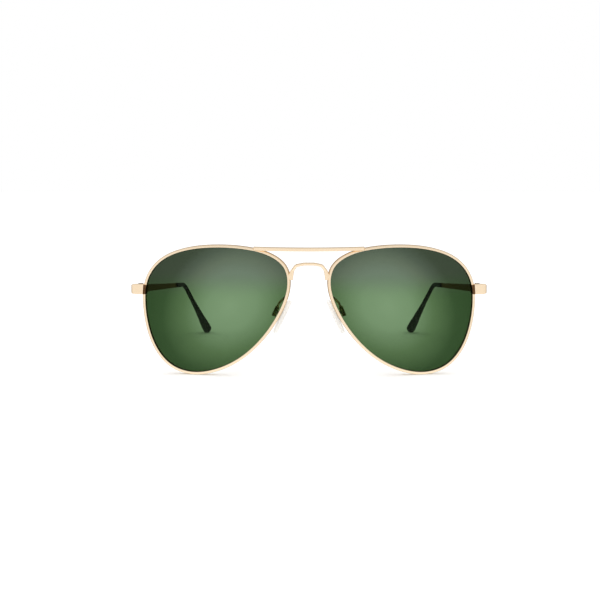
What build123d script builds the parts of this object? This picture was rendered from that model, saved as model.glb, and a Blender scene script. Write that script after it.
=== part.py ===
"""Metal aviator sunglasses with folding temples, glass lenses and tilting nose pads.

Millimetres, +Z up.  The wearer looks along -Y, so the wearer's left is +X.  The glasses stand
on z = 0 on the bottoms of the rims and the ends of the temples, as they do on a table.
"""

import os
from math import cos, radians, sin, tan

from build123d import *

os.makedirs("parts", exist_ok=True)

# ---- Driving dimensions ------------------------------------------------------------------------

DEPTH_CENTRE = 71.23  # depth of the middle of the whole object, behind its foremost tangent plane

# Lenses and rims.  Each lens is part of a sphere, and is turned a little about the vertical.
LENS_X = 37.2  # centre of the lens opening, from the middle of the face
LENS_Z = 26.11
FACE_FORM = 6.0  # degrees
RIM_SPHERE = 88.0  # radius of the sphere that the front edges of the rim lie on
RIM_WIDTH = 1.1  # radial
RIM_DEPTH = 2.7
RIM_ROUND = 0.4
FRONT_LIP = 0.75
GROOVE_WIDTH = 1.3
GROOVE_DEPTH = 0.5
LENS_THICK = 1.1
LENS_BITE = 0.42  # how far the lens reaches into the groove
CUT_LENGTH = 16.0  # long enough to pass right through a rim
BLANK_MARGIN = 1.0  # extra height left on a blank before it is trimmed to shape
OUTLINE_STEPS = 36  # points on each outline grown from the opening

# The lens opening seen along its own axis: towards the temple, then up, from the lens centre.
OPENING = [
    (28.3, 3.5),
    (27.25, 11.4),
    (22.4, 18.25),
    (12.4, 22.9),
    (0, 24.35),
    (-12.25, 23.55),
    (-21.85, 20.65),
    (-26.85, 16.3),
    (-28.25, 10.2),
    (-26.2, 1.7),
    (-19.15, -9.95),
    (-9.75, -18.8),
    (0.9, -23.85),
    (9.3, -25.0),
    (17.85, -22.4),
    (23.95, -15.45),
    (27.35, -5.4),
]

# End piece, a flat plate over the temple side of the rim that turns back into a short leg.
PLATE_TOP = 35.8
PLATE_BOTTOM = 31.7
PLATE_START = 65.4  # X and depth of the middle of its thickness, at its inner end and its turn
PLATE_START_DEPTH = 7.7
PLATE_TURN = 70.2
PLATE_TURN_DEPTH = 8.95
PLATE_THICK = 1.0
PLATE_ROUND = 1.2

# Temples, which run back, down and inwards, then drop behind the ear.
LEG_END_X = 69.43
LEG_END_DEPTH = 15.2
LEG_END_Z = 33.2
SLEEVE_START_X = 61.37
SLEEVE_START_DEPTH = 92.0
SLEEVE_START_Z = 27.87
BEND_X = 59.3
BEND_DEPTH = 112.0
BEND_Z = 26.5
TIP_X = 50.9
TIP_DEPTH = 140.0
TIP_Z = 2.15
BEND_RADIUS = 12.0
ARM_THICK = 1.0
ARM_HEIGHT = 3.3
ARM_END_THICK = 1.2
ARM_END_HEIGHT = 2.0
ARM_ROUND = 0.3
WIRE_RADIUS = 0.6
WIRE_DROP = 18.0  # length of the wire past the bend
SLEEVE_FIT = 0.02
SOCKET_RADIUS = 1.15
NECK_RADIUS = 0.97
TIP_SWELL = [(0.38, 1.12), (0.7, 1.6)]  # radius of the tip at shares of its drop
TIP_RADIUS = 2.15
END_GAP = 0.16  # between the leg and the temple when open

# Temple hinge
KNUCKLE_RADIUS = 1.2
KNUCKLE_HEIGHT = 1.6  # of the temple's middle knuckle
OUTER_KNUCKLE_HEIGHT = 1.0
KNUCKLE_GAP = 0.05
HINGE_SCREW_RADIUS = 0.6
HINGE_HEAD_RADIUS = 1.0
HINGE_HEAD_HEIGHT = 0.5
RUNNING_FIT = 0.04
HINGE_INSET = 1.45  # from the inner face of the temple to the hinge axis
LEAF_THICK = 0.7
LEAF_LENGTH = 5.4
FRONT_LEAF_LENGTH = 4.0
LEAF_STEP = 1.6  # from the hinge axis to where the temple's leaf reaches its full height
LEAF_MARGIN = 0.2

# Rim lock, two blocks brazed between the ends of the rim and drawn together by a screw.
LOCK_SPLIT_Z = 33.6
LOCK_SPLIT = 0.12
LOCK_TOP = 35.4
LOCK_BOTTOM = 31.7
LOCK_OUTER_X = 68.1
LOCK_INNER_X = 63.6
LOCK_FRONT_DEPTH = 8.1
LOCK_BACK_DEPTH = 12.2
RIM_GAP = 12.0  # width of the cut that makes room for the blocks in the rim
LOCK_SCREW_X = 66.9
LOCK_SCREW_DEPTH = 10.6
LOCK_ROUND = 0.4
LOCK_SCREW_RADIUS = 0.45
LOCK_HEAD_RADIUS = 0.8
LOCK_HEAD_HEIGHT = 0.5

# Top bar and bridge
BAR_HALF_LENGTH = 21.7
BAR_HEIGHT = 1.5
BAR_DEEP = 1.7
BAR_FRONT_MIDDLE = 1.0  # depth of its front face at the middle and at its ends
BAR_FRONT_END = 2.15
BAR_MIDDLE_Z = 49.8
BAR_END_Z = 50.1
BRIDGE_RADIUS = 0.58
BRIDGE_BEND = 1.8
# The left half of the bridge wire: across, depth and height, from its foot on the rim upwards.
BRIDGE_ROUTE = [(6.92, 3.6, 37.8), (6.42, 3.0, 41.5), (4.95, 1.9, 43.5), (1.9, 1.35, 44.15)]

# Nose pads
PAD_X = 10.6
PAD_DEPTH = 10.0
PAD_Z = 22.5
PAD_LEAN = 23.5  # degrees that the pads splay outwards towards the bottom
PAD_SPLAY = 2.0  # degrees that the pads splay outwards towards the back
PAD_LENGTH = 14.6
PAD_WIDTH = 7.4
PAD_THICK = 1.45
CORE_LENGTH = 7.0
CORE_WIDTH = 3.2
CORE_THICK = 0.4
TAB_THICK = 0.8
TAB_HALF = 0.52
BOX_ABOVE = 1.0  # from the middle of the pad up to the screw
BOX_LONG = 4.0
BOX_INNER = 2.6  # from the middle of the pad to the near and far sides of the box
BOX_OUTER = 4.2
BOX_WIDE = 2.4
BOX_SLOT = 1.0
BOX_WALL = 0.45
PAD_SCREW_OUT = 3.15  # from the middle of the pad to the screw
PAD_SCREW_RADIUS = 0.35
PAD_HEAD_RADIUS = 0.55
PAD_HEAD_HEIGHT = 0.3
PAD_ARM_RADIUS = 0.45
PAD_ARM_START = (9.6, 3.0, 30.5)  # across, depth and height
PAD_ARM_CORNER = (9.7, 7.0, 30.4)
PAD_ARM_RUN = 1.7  # straight part above the box
PAD_ARM_BEND = 1.2


# ---- Reference frames --------------------------------------------------------------------------


def at(x, depth, z):
    """A point from its distance across, its depth behind the lens fronts and its height."""
    return Vector(x, depth - DEPTH_CENTRE, z)


turn = radians(FACE_FORM)
LENS_PLANE = Plane(
    origin=at(LENS_X, 0, LENS_Z),
    x_dir=(cos(turn), sin(turn), 0),
    z_dir=(sin(turn), -cos(turn), 0),
)
SPHERE_CENTRE = LENS_PLANE.from_local_coords((0, 0, -RIM_SPHERE))

LEG_END = at(LEG_END_X, LEG_END_DEPTH, LEG_END_Z)
SLEEVE_START = at(SLEEVE_START_X, SLEEVE_START_DEPTH, SLEEVE_START_Z)
BEND = at(BEND_X, BEND_DEPTH, BEND_Z)
TIP = at(TIP_X, TIP_DEPTH, TIP_Z)
ARM_DIRECTION = (SLEEVE_START - LEG_END).normalized()
DROP_DIRECTION = (TIP - BEND).normalized()

# The hinge turns about an axis square to the temple.  Its plane has x outwards, y to the back
# along the temple and z up the axis, and y = 0 is the gap between the leg and the temple.
HINGE_AXIS = Vector(0, -ARM_DIRECTION.Z, ARM_DIRECTION.Y).normalized()
OUTWARDS = ARM_DIRECTION.cross(HINGE_AXIS).normalized()
HINGE_PLANE = Plane(
    origin=LEG_END - OUTWARDS * (ARM_THICK / 2 + HINGE_INSET),
    x_dir=OUTWARDS,
    z_dir=HINGE_AXIS,
)

# The pad's plane has x along the pad downwards, y to the back and z away from the nose.
lean = radians(PAD_LEAN)
splay = radians(PAD_SPLAY)
PAD_DOWN = Vector(sin(lean), 0, -cos(lean))
PAD_SIDE = Vector(cos(lean), 0, sin(lean))
PAD_BACK = Vector(0, cos(splay), 0) + PAD_SIDE * sin(splay)
PAD_OUT = PAD_DOWN.cross(PAD_BACK)
PAD_PLANE = Plane(origin=at(PAD_X, PAD_DEPTH, PAD_Z), x_dir=PAD_DOWN, z_dir=PAD_OUT)


def keep(piece, name):
    """Label a finished piece and write it."""
    piece.part.label = name
    export_step(piece.part, f"parts/{name}.step")


def keep_pair(piece, name):
    """Write a piece of the wearer's left side, and its mirror image for the right."""
    keep(piece, f"{name}_left")
    with BuildPart() as other:
        mirror(piece.part, about=Plane.YZ)
    keep(other, f"{name}_right")


# ---- Rims and lenses ---------------------------------------------------------------------------


opening_edge = Spline(*OPENING, periodic=True)


def outline(growth):
    """The lens opening grown outwards, as a face on the lens plane."""
    points = []
    for step in range(OUTLINE_STEPS):
        along = opening_edge.tangent_at(step / OUTLINE_STEPS)
        outwards = Vector(along.Y, -along.X)
        points.append(opening_edge.position_at(step / OUTLINE_STEPS) + outwards * growth)
    with BuildSketch(LENS_PLANE) as face:
        with BuildLine():
            Spline(*points, periodic=True)
        make_face()
    return face.sketch


def shell(growth, front, thickness):
    """The grown outline cut from a spherical shell that starts a depth behind the rim's front."""
    with BuildPart() as cut:
        extrude(outline(growth), amount=CUT_LENGTH, both=True)
        with Locations(SPHERE_CENTRE):
            Sphere(RIM_SPHERE - front, mode=Mode.INTERSECT)
            Sphere(RIM_SPHERE - front - thickness, mode=Mode.SUBTRACT)
    return cut.part


rim_space = shell(RIM_WIDTH, 0, RIM_DEPTH)
opening_cut = extrude(outline(0), amount=CUT_LENGTH, both=True)
groove = shell(GROOVE_DEPTH, FRONT_LIP, GROOVE_WIDTH)

with BuildPart() as rim:
    add(rim_space)
    fillet(rim.edges().sort_by(SortBy.LENGTH)[-2:], RIM_ROUND)
    add(opening_cut, mode=Mode.SUBTRACT)
    add(groove, mode=Mode.SUBTRACT)
    with Locations(at(LOCK_INNER_X, LOCK_FRONT_DEPTH, (LOCK_TOP + LOCK_BOTTOM) / 2)):
        Box(RIM_GAP, RIM_GAP, LOCK_TOP - LOCK_BOTTOM, mode=Mode.SUBTRACT)
keep_pair(rim, "rim")

with BuildPart() as lens:
    add(shell(LENS_BITE, FRONT_LIP + (GROOVE_WIDTH - LENS_THICK) / 2, LENS_THICK))
keep_pair(lens, "lens")

# ---- End pieces --------------------------------------------------------------------------------

with BuildPart() as end_piece:
    with BuildSketch(Plane.XY.offset(PLATE_BOTTOM - BLANK_MARGIN)):
        with BuildLine():
            FilletPolyline(
                at(PLATE_START, PLATE_START_DEPTH, 0),
                at(PLATE_TURN, PLATE_TURN_DEPTH, 0),
                at(LEG_END_X, LEG_END_DEPTH, 0) + Vector(ARM_DIRECTION.X, ARM_DIRECTION.Y),
                radius=PLATE_ROUND,
            )
        trace(line_width=PLATE_THICK)
    extrude(amount=PLATE_TOP - PLATE_BOTTOM + 2 * BLANK_MARGIN)
    leg_top = LEG_END + HINGE_AXIS * (ARM_HEIGHT / 2)
    leg_bottom = LEG_END - HINGE_AXIS * (ARM_HEIGHT / 2)
    with BuildSketch(Plane.YZ):
        with BuildLine():
            Polyline(
                (at(0, 0, 0).Y, PLATE_BOTTOM),
                (at(0, PLATE_TURN_DEPTH, 0).Y, PLATE_BOTTOM),
                (leg_bottom.Y + BLANK_MARGIN, leg_bottom.Z),
                (leg_top.Y + BLANK_MARGIN, leg_top.Z),
                (at(0, PLATE_TURN_DEPTH, 0).Y, PLATE_TOP),
                (at(0, 0, 0).Y, PLATE_TOP),
                close=True,
            )
        make_face()
    extrude(amount=2 * PLATE_TURN, mode=Mode.INTERSECT)
    split(
        bisect_by=Plane(LEG_END - ARM_DIRECTION * (END_GAP / 2), z_dir=ARM_DIRECTION),
        keep=Keep.BOTTOM,
    )
    add(rim_space, mode=Mode.SUBTRACT)
keep_pair(end_piece, "end_piece")

# ---- Rim locks ---------------------------------------------------------------------------------


def lock_block(bottom, top):
    """One block, brazed to an end of the rim and to the back of the end piece."""
    with BuildPart() as block:
        with BuildSketch(Plane.XY.offset(bottom)):
            with BuildLine():
                Polyline(
                    at(LOCK_INNER_X, LOCK_FRONT_DEPTH, 0),
                    at(LOCK_OUTER_X, LOCK_FRONT_DEPTH, 0),
                    at(LOCK_OUTER_X, LOCK_BACK_DEPTH, 0),
                    at(LOCK_INNER_X, LOCK_BACK_DEPTH, 0),
                    close=True,
                )
            make_face()
        extrude(amount=top - bottom)
        fillet(block.edges().filter_by(Axis.Z).sort_by(Axis.Y)[-2:], LOCK_ROUND)
        add(end_piece.part, mode=Mode.SUBTRACT)
        add(opening_cut, mode=Mode.SUBTRACT)
        add(groove, mode=Mode.SUBTRACT)
        with Locations(at(LOCK_SCREW_X, LOCK_SCREW_DEPTH, bottom)):
            Cylinder(
                LOCK_SCREW_RADIUS,
                top - bottom,
                align=(Align.CENTER, Align.CENTER, Align.MIN),
                mode=Mode.SUBTRACT,
            )
    return block


def screw(plane, radius, length, head_radius, head_height):
    """A slotted screw whose head stands on the plane and whose shank runs down from it."""
    with BuildPart(plane) as made:
        Cylinder(radius, length, align=(Align.CENTER, Align.CENTER, Align.MAX))
        Cylinder(head_radius, head_height, align=(Align.CENTER, Align.CENTER, Align.MIN))
        with Locations((0, 0, head_height)):
            Box(2 * head_radius, head_radius / 3, head_height, mode=Mode.SUBTRACT)
    return made


keep_pair(lock_block(LOCK_SPLIT_Z + LOCK_SPLIT / 2, LOCK_TOP), "rim_lock_upper")
keep_pair(lock_block(LOCK_BOTTOM, LOCK_SPLIT_Z - LOCK_SPLIT / 2), "rim_lock_lower")
lock_screw = screw(
    Plane(at(LOCK_SCREW_X, LOCK_SCREW_DEPTH, LOCK_TOP)),
    LOCK_SCREW_RADIUS,
    LOCK_TOP - LOCK_BOTTOM,
    LOCK_HEAD_RADIUS,
    LOCK_HEAD_HEIGHT,
)
keep_pair(lock_screw, "rim_lock_screw")

# ---- Temple hinges -----------------------------------------------------------------------------

knuckle_edge = KNUCKLE_HEIGHT / 2 + KNUCKLE_GAP
knuckle_end = knuckle_edge + OUTER_KNUCKLE_HEIGHT
leaf_edge = HINGE_INSET - LEAF_THICK


def hinge_level(height):
    """The hinge's plane, raised along its axis."""
    return HINGE_PLANE.offset(height)


with BuildPart() as hinge_front:
    for level in (knuckle_edge, -knuckle_end):
        with BuildSketch(hinge_level(level)):
            Circle(KNUCKLE_RADIUS)
            Rectangle(HINGE_INSET, KNUCKLE_RADIUS, align=(Align.MIN, Align.MAX))
        extrude(amount=OUTER_KNUCKLE_HEIGHT)
    with BuildSketch(hinge_level(-ARM_HEIGHT / 2)):
        with Locations((leaf_edge, -END_GAP / 2)):
            Rectangle(LEAF_THICK, FRONT_LEAF_LENGTH, align=(Align.MIN, Align.MAX))
    extrude(amount=ARM_HEIGHT)
    with BuildSketch(hinge_level(-knuckle_edge)):
        Circle(KNUCKLE_RADIUS + 2 * KNUCKLE_GAP)
    extrude(amount=2 * knuckle_edge, mode=Mode.SUBTRACT)
    with BuildSketch(hinge_level(-knuckle_end)):
        Circle(HINGE_SCREW_RADIUS)
    extrude(amount=2 * knuckle_end, mode=Mode.SUBTRACT)
keep_pair(hinge_front, "hinge_front")

with BuildPart() as hinge_temple:
    with BuildSketch(hinge_level(-KNUCKLE_HEIGHT / 2)):
        Circle(KNUCKLE_RADIUS)
        with Locations((0, END_GAP / 2)):
            Rectangle(HINGE_INSET, KNUCKLE_RADIUS, align=(Align.MIN, Align.MIN))
        with Locations((leaf_edge, END_GAP / 2)):
            Rectangle(LEAF_THICK, LEAF_LENGTH, align=(Align.MIN, Align.MIN))
    extrude(amount=KNUCKLE_HEIGHT)
    with BuildSketch(hinge_level(-ARM_HEIGHT / 2 + LEAF_MARGIN)):
        with Locations((leaf_edge, LEAF_STEP)):
            Rectangle(LEAF_THICK, LEAF_LENGTH - KNUCKLE_RADIUS, align=(Align.MIN, Align.MIN))
    extrude(amount=ARM_HEIGHT - 2 * LEAF_MARGIN)
    with BuildSketch(hinge_level(-KNUCKLE_HEIGHT / 2)):
        Circle(HINGE_SCREW_RADIUS + RUNNING_FIT)
    extrude(amount=KNUCKLE_HEIGHT, mode=Mode.SUBTRACT)
keep_pair(hinge_temple, "hinge_temple")

hinge_screw = screw(
    hinge_level(knuckle_end),
    HINGE_SCREW_RADIUS,
    2 * knuckle_end,
    HINGE_HEAD_RADIUS,
    HINGE_HEAD_HEIGHT,
)
keep_pair(hinge_screw, "hinge_screw")

# ---- Temples -----------------------------------------------------------------------------------

# A wire runs from the end of each metal arm round the bend inside the tip.
half_bend = radians(ARM_DIRECTION.get_angle(DROP_DIRECTION) / 2)
bend_start = BEND - ARM_DIRECTION * BEND_RADIUS * tan(half_bend)
bend_end = BEND + DROP_DIRECTION * BEND_RADIUS * tan(half_bend)
to_centre = (DROP_DIRECTION - ARM_DIRECTION).normalized()
bend_middle = BEND + to_centre * BEND_RADIUS * (1 / cos(half_bend) - 1)
wire_end = bend_end + DROP_DIRECTION * WIRE_DROP
drop_length = (TIP - bend_end).length


def across(origin, direction):
    """A plane square to the temple, with x across its thickness."""
    return Plane(origin=origin, x_dir=OUTWARDS, z_dir=direction)


def wire(radius):
    """The bent wire, or the bore that it lies in."""
    with BuildPart() as rod:
        with BuildLine() as path:
            Line(SLEEVE_START, bend_start)
            ThreePointArc(bend_start, bend_middle, bend_end)
            Line(bend_end, wire_end)
        with BuildSketch(across(SLEEVE_START, ARM_DIRECTION)):
            Circle(radius)
        sweep(path=path.wires()[0])
    return rod.part


with BuildPart() as temple_arm:
    with BuildSketch(across(LEG_END + ARM_DIRECTION * (END_GAP / 2), ARM_DIRECTION)):
        RectangleRounded(ARM_THICK, ARM_HEIGHT, ARM_ROUND)
    with BuildSketch(across(SLEEVE_START, ARM_DIRECTION)):
        RectangleRounded(ARM_END_THICK, ARM_END_HEIGHT, ARM_ROUND)
    loft()
    add(wire(WIRE_RADIUS))
    add(hinge_temple.part, mode=Mode.SUBTRACT)
keep_pair(temple_arm, "temple_arm")

with BuildPart() as temple_tip:
    with BuildSketch(across(SLEEVE_START, ARM_DIRECTION)):
        Circle(SOCKET_RADIUS)
    with BuildSketch(across(bend_start, ARM_DIRECTION)):
        Circle(NECK_RADIUS)
    loft()
    with BuildLine() as bend_path:
        ThreePointArc(bend_start, bend_middle, bend_end)
    with BuildSketch(across(bend_start, ARM_DIRECTION)):
        Circle(NECK_RADIUS)
    sweep(path=bend_path.wires()[0])
    drop_side = DROP_DIRECTION.cross(OUTWARDS)
    with BuildSketch(Plane(origin=bend_end, x_dir=DROP_DIRECTION, z_dir=drop_side)):
        with BuildLine():
            swell = Spline(
                (0, NECK_RADIUS),
                *[(share * drop_length, radius) for share, radius in TIP_SWELL],
                (drop_length, TIP_RADIUS),
                tangents=[(1, 0), (1, 0)],
            )
            JernArc(start=swell @ 1, tangent=(1, 0), radius=TIP_RADIUS, arc_size=-90)
            Polyline((drop_length + TIP_RADIUS, 0), (0, 0), (0, NECK_RADIUS))
        make_face()
    revolve(axis=Axis(bend_end, DROP_DIRECTION))
    add(wire(WIRE_RADIUS + SLEEVE_FIT), mode=Mode.SUBTRACT)
keep_pair(temple_tip, "temple_tip")

# ---- Top bar and bridge ------------------------------------------------------------------------

rim_space_right = mirror(rim_space, about=Plane.YZ)

with BuildPart() as top_bar:
    with BuildSketch(Plane.XY.offset(BAR_MIDDLE_Z - BAR_HEIGHT / 2 - BLANK_MARGIN)):
        with BuildLine():
            front = ThreePointArc(
                at(-BAR_HALF_LENGTH, BAR_FRONT_END, 0),
                at(0, BAR_FRONT_MIDDLE, 0),
                at(BAR_HALF_LENGTH, BAR_FRONT_END, 0),
            )
            back = ThreePointArc(
                at(-BAR_HALF_LENGTH, BAR_FRONT_END + BAR_DEEP, 0),
                at(0, BAR_FRONT_MIDDLE + BAR_DEEP, 0),
                at(BAR_HALF_LENGTH, BAR_FRONT_END + BAR_DEEP, 0),
            )
            Line(front @ 0, back @ 0)
            Line(front @ 1, back @ 1)
        make_face()
    extrude(amount=BAR_HEIGHT + BAR_END_Z - BAR_MIDDLE_Z + 2 * BLANK_MARGIN)
    with BuildSketch(Plane.XZ):
        with BuildLine():
            top = ThreePointArc(
                (-BAR_HALF_LENGTH, BAR_END_Z + BAR_HEIGHT / 2),
                (0, BAR_MIDDLE_Z + BAR_HEIGHT / 2),
                (BAR_HALF_LENGTH, BAR_END_Z + BAR_HEIGHT / 2),
            )
            bottom = ThreePointArc(
                (-BAR_HALF_LENGTH, BAR_END_Z - BAR_HEIGHT / 2),
                (0, BAR_MIDDLE_Z - BAR_HEIGHT / 2),
                (BAR_HALF_LENGTH, BAR_END_Z - BAR_HEIGHT / 2),
            )
            Line(top @ 0, bottom @ 0)
            Line(top @ 1, bottom @ 1)
        make_face()
    extrude(amount=2 * DEPTH_CENTRE, both=True, mode=Mode.INTERSECT)
    add(rim_space, mode=Mode.SUBTRACT)
    add(rim_space_right, mode=Mode.SUBTRACT)
keep(top_bar, "top_bar")

with BuildPart() as bridge:
    with BuildLine() as bridge_path:
        FilletPolyline(
            *[at(*point) for point in BRIDGE_ROUTE],
            *[at(-point[0], point[1], point[2]) for point in reversed(BRIDGE_ROUTE)],
            radius=BRIDGE_BEND,
        )
    path_start = bridge_path.wires()[0].position_at(0)
    path_along = bridge_path.wires()[0].tangent_at(0)
    with BuildSketch(Plane(origin=path_start, z_dir=path_along)):
        Circle(BRIDGE_RADIUS)
    sweep(path=bridge_path.wires()[0])
    add(rim_space, mode=Mode.SUBTRACT)
    add(rim_space_right, mode=Mode.SUBTRACT)
keep(bridge, "bridge")

# ---- Nose pads ---------------------------------------------------------------------------------


def pad_point(down, back, out):
    """A point from its place on the pad's own axes."""
    return PAD_PLANE.from_local_coords((down, back, out))


with BuildPart() as pad_core:
    with BuildSketch(PAD_PLANE.offset(-CORE_THICK / 2)):
        with Locations((-BOX_ABOVE / 2, 0)):
            RectangleRounded(CORE_LENGTH, CORE_WIDTH, CORE_WIDTH / 3)
    extrude(amount=CORE_THICK)
    tab_plane = Plane(
        origin=pad_point(-BOX_ABOVE, -TAB_THICK / 2, PAD_SCREW_OUT),
        x_dir=PAD_DOWN,
        z_dir=PAD_PLANE.y_dir,
    )
    with BuildSketch(tab_plane):
        Circle(TAB_HALF)
        Rectangle(2 * TAB_HALF, PAD_SCREW_OUT, align=(Align.CENTER, Align.MIN))
    extrude(amount=TAB_THICK)
    with BuildSketch(tab_plane):
        Circle(PAD_SCREW_RADIUS + RUNNING_FIT)
    extrude(amount=TAB_THICK, mode=Mode.SUBTRACT)
keep_pair(pad_core, "pad_core")

with BuildPart() as nose_pad:
    with BuildSketch(PAD_PLANE.offset(-PAD_THICK / 2)):
        Ellipse(PAD_LENGTH / 2, PAD_WIDTH / 2)
    extrude(amount=PAD_THICK)
    fillet(nose_pad.edges(), PAD_THICK / 2 - 0.05)
    add(pad_core.part, mode=Mode.SUBTRACT)
keep_pair(nose_pad, "nose_pad")

with BuildPart() as pad_box:
    box_top = -BOX_ABOVE - BOX_LONG / 2
    with BuildSketch(PAD_PLANE.offset(BOX_INNER)):
        with Locations((-BOX_ABOVE, 0)):
            Rectangle(BOX_LONG, BOX_WIDE)
    extrude(amount=BOX_OUTER - BOX_INNER)
    with BuildSketch(PAD_PLANE.offset(BOX_INNER)):
        with Locations((box_top + BOX_WALL, 0)):
            Rectangle(BOX_LONG, BOX_SLOT, align=(Align.MIN, Align.CENTER))
    extrude(amount=BOX_OUTER - BOX_INNER - BOX_WALL, mode=Mode.SUBTRACT)
    screw_plane = Plane(
        origin=pad_point(-BOX_ABOVE, -BOX_WIDE / 2, PAD_SCREW_OUT),
        z_dir=-PAD_PLANE.y_dir,
    )
    with BuildSketch(screw_plane):
        Circle(PAD_SCREW_RADIUS)
    extrude(amount=-BOX_WIDE, mode=Mode.SUBTRACT)
keep_pair(pad_box, "pad_box")

pad_screw = screw(screw_plane, PAD_SCREW_RADIUS, BOX_WIDE, PAD_HEAD_RADIUS, PAD_HEAD_HEIGHT)
keep_pair(pad_screw, "pad_screw")

with BuildPart() as pad_arm:
    box_middle = (BOX_INNER + BOX_OUTER) / 2
    with BuildLine() as arm_path:
        FilletPolyline(
            at(*PAD_ARM_START),
            at(*PAD_ARM_CORNER),
            pad_point(box_top - PAD_ARM_RUN, 0, box_middle),
            pad_point(box_top, 0, box_middle),
            radius=PAD_ARM_BEND,
        )
    arm_wire = arm_path.wires()[0]
    with BuildSketch(Plane(origin=arm_wire.position_at(0), z_dir=arm_wire.tangent_at(0))):
        Circle(PAD_ARM_RADIUS)
    sweep(path=arm_wire)
    add(rim_space, mode=Mode.SUBTRACT)
keep_pair(pad_arm, "pad_arm")
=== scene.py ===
"""The looks of the aviator sunglasses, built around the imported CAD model.

Metres, in the CAD frame: +Z up, the lenses face -Y, and the wearer's left is +X.  The shapes below
are worked out in millimetres from the same driving dimensions as the CAD, and scaled at the end.
"""

from math import cos, pi, radians, sin, sqrt, tan

import bpy
import numpy as np
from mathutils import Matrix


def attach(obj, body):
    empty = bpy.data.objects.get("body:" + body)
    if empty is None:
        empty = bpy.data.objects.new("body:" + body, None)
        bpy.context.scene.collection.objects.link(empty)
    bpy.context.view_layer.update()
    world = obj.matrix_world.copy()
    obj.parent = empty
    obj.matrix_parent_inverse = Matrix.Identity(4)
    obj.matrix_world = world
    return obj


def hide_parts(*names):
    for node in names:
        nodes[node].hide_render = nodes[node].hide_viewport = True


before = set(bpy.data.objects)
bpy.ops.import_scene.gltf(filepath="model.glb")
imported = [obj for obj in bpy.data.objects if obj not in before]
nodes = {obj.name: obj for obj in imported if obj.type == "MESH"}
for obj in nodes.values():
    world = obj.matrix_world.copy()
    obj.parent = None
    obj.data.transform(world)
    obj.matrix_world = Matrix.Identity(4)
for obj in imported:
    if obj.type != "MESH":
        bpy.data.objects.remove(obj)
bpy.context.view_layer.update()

MM = 0.001
SIDES = {"left": 1, "right": -1}

# ---- Driving dimensions, in millimetres, as in the CAD -----------------------------------------

DEPTH_CENTRE = 71.23
LENS_X = 37.2
LENS_Z = 26.11
FACE_FORM = radians(6.0)
RIM_SPHERE = 88.0
RIM_WIDTH = 1.1
RIM_DEPTH = 2.7
FRONT_LIP = 0.75
GROOVE_WIDTH = 1.3
GROOVE_DEPTH = 0.5
LENS_THICK = 1.1
LENS_BITE = 0.42
LOCK_TOP = 35.4
LOCK_BOTTOM = 31.7
OPENING = [
    (28.3, 3.5),
    (27.25, 11.4),
    (22.4, 18.25),
    (12.4, 22.9),
    (0, 24.35),
    (-12.25, 23.55),
    (-21.85, 20.65),
    (-26.85, 16.3),
    (-28.25, 10.2),
    (-26.2, 1.7),
    (-19.15, -9.95),
    (-9.75, -18.8),
    (0.9, -23.85),
    (9.3, -25.0),
    (17.85, -22.4),
    (23.95, -15.45),
    (27.35, -5.4),
]

PLATE_TOP = 35.8
PLATE_BOTTOM = 31.7
PLATE_THICK = 1.0
LEG_END = (69.43, 15.2, 33.2)  # across, depth and height
SLEEVE_START = (61.37, 92.0, 27.87)
BEND = (59.3, 112.0, 26.5)
TIP = (50.9, 140.0, 2.15)
BEND_RADIUS = 12.0
ARM_THICK = 1.0
ARM_HEIGHT = 3.3
ARM_END_THICK = 1.2
ARM_END_HEIGHT = 2.0
END_GAP = 0.16
SOCKET_RADIUS = 1.15
NECK_RADIUS = 0.97
TIP_RADIUS = 2.15

PAD_MIDDLE = (10.6, 10.0, 22.5)
PAD_LEAN = radians(23.5)
PAD_SPLAY = radians(2.0)
PAD_LENGTH = 14.6
PAD_WIDTH = 7.4
PAD_THICK = 1.45
BOX_ABOVE = 1.0
BOX_LONG = 4.0
BOX_INNER = 2.6
BOX_OUTER = 4.2
PAD_ARM_RADIUS = 0.45
PAD_ARM_LEAVES = (9.63, 4.1, 30.47)
PAD_ARM_CORNER = (9.7, 7.0, 30.4)
PAD_ARM_RUN = 1.7
PAD_ARM_BEND = 1.2

PLATE_START = 65.4
PLATE_START_DEPTH = 7.7
PLATE_TURN = 70.2
PLATE_TURN_DEPTH = 8.95
PLATE_ROUND = 1.2
WIRE_RADIUS = 0.6
WIRE_DROP = 18.0
SLEEVE_FIT = 0.02
TIP_SWELL = [(0.38, 1.12), (0.7, 1.6)]

BAR_HALF_LENGTH = 21.7
BAR_HEIGHT = 1.5
BAR_DEEP = 1.7
BAR_FRONT_MIDDLE = 1.0
BAR_FRONT_END = 2.15
BAR_MIDDLE_Z = 49.8
BAR_END_Z = 50.1
BRIDGE_RADIUS = 0.58
BRIDGE_BEND = 1.8
# The bend is 0.15 mm fuller than the CAD's, because the photo's arch stands further out there.
BRIDGE_ROUTE = [(6.92, 3.6, 37.8), (6.42, 3.0, 41.5), (5.1, 1.95, 43.5), (1.9, 1.35, 44.15)]

# ---- Finish of the metal and plastic edges, in millimetres ------------------------------------

BAR_ROUND = 0.25
BAR_TOP_ROUND = 0.5  # along the top of the bar's front
BAR_END_EASE = 0.1
SUNK = 0.35  # how far the brazed pieces reach into the front of a rim
LEG_FLAT_TOP = 42.0  # the bridge's legs flatten downwards from here
LEG_FLAT_RUN = 2.5
LEG_FLARE = 0.85  # how much wider the bridge's legs grow on their rim side
PLATE_EDGE_ROUND = 0.3
PLATE_SLANT = 0.16  # how far the plate's inner end leans, and stands out from square
CORNER_DIP = 0.8  # how much the plate's height eases in towards its turn
ARM_EDGE_ROUND = 0.32
ARM_START_EASE = 0.08
SLEEVE_EASE = 0.15

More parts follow.
